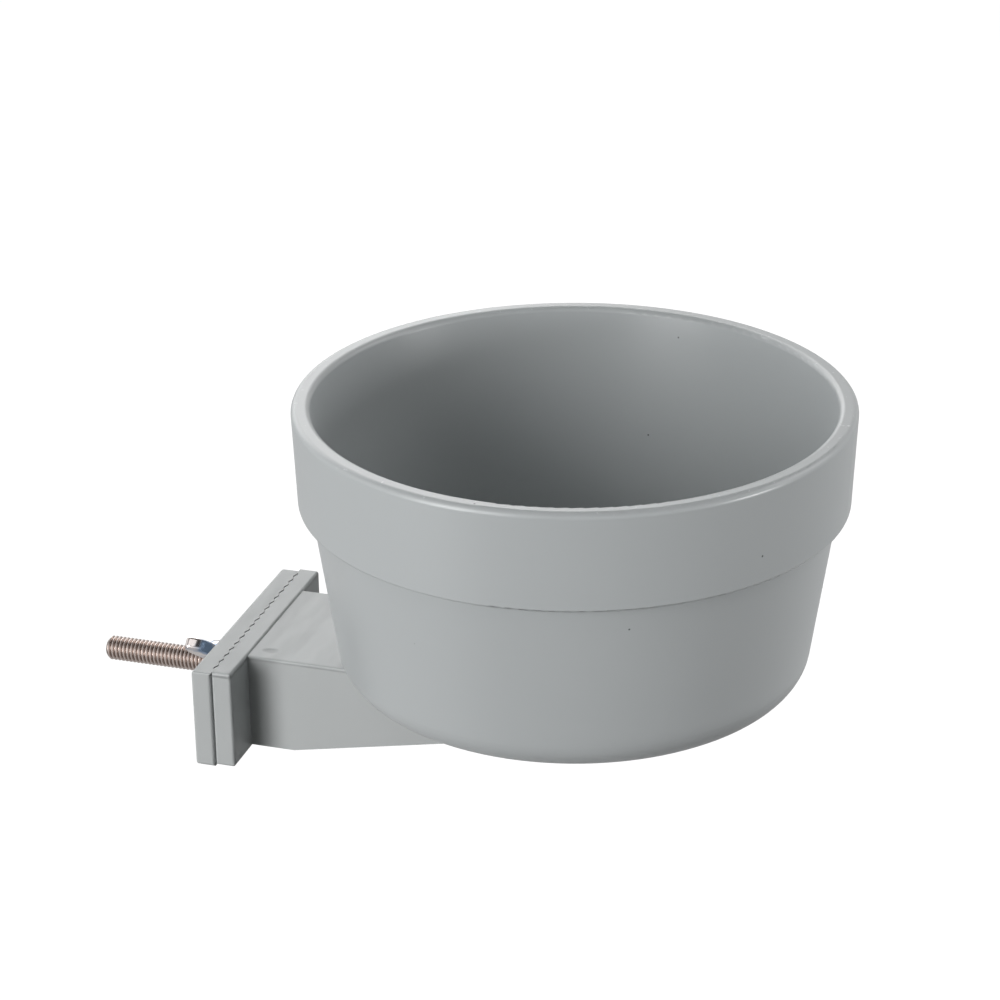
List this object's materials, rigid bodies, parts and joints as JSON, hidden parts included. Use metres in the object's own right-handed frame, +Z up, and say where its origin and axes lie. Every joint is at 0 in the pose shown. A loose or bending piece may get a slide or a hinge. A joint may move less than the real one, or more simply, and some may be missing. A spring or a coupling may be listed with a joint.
{
  "type": "seed cup",
  "caption": "Round plastic seed cup with a wide rim band, twist-locked onto a hollow arm whose toothed jaws clamp to cage wires with a bolt and wing nut.",
  "frame": {"origin": "on the clamp bolt's axis, at the tooth tips of the bracket's jaw, where the cage wires are gripped", "axes": "+X from the jaw into the cage, towards the cup; +Z up along the cup's axis; the bolt's free end points along -X"},
  "size_m": [0.1809, 0.1258, 0.0903],
  "materials": {
    "cup_plastic": "moulded grey plastic with a soft gloss",
    "bracket_plastic": "moulded grey plastic, finer satin than the cup",
    "bolt_steel": "rolled thread, plated, slightly warm",
    "nut_steel": "bright plated"
  },
  "bodies": {
    "bracket": {"cup_bracket": "bracket_plastic", "clamp_bolt": "bolt_steel"},
    "cup": {"seed_cup": "cup_plastic"},
    "clamp": {"clamp_plate": "bracket_plastic"},
    "nut": {"wing_nut": "nut_steel"}
  },
  "joints": [
    {"name": "cup_twist", "type": "hinge", "parent": "bracket", "child": "cup", "pos_m": [0.0785, 0, 0], "axis": [0, 0, 1], "range_deg": [0, 60]},
    {"name": "clamp_slide", "type": "slide", "parent": "bracket", "child": "clamp", "axis": [-1, 0, 0], "range_m": [0, 0.02501]},
    {"name": "nut_turn", "type": "hinge", "parent": "clamp", "child": "nut", "pos_m": [0, 0, 0], "axis": [-1, 0, 0], "range_deg": [0, 9000]}
  ],
  "couplings": [
    {"joint": "clamp_slide", "follows": "nut_turn", "m_per_rad": 0.00015915}
  ]
}
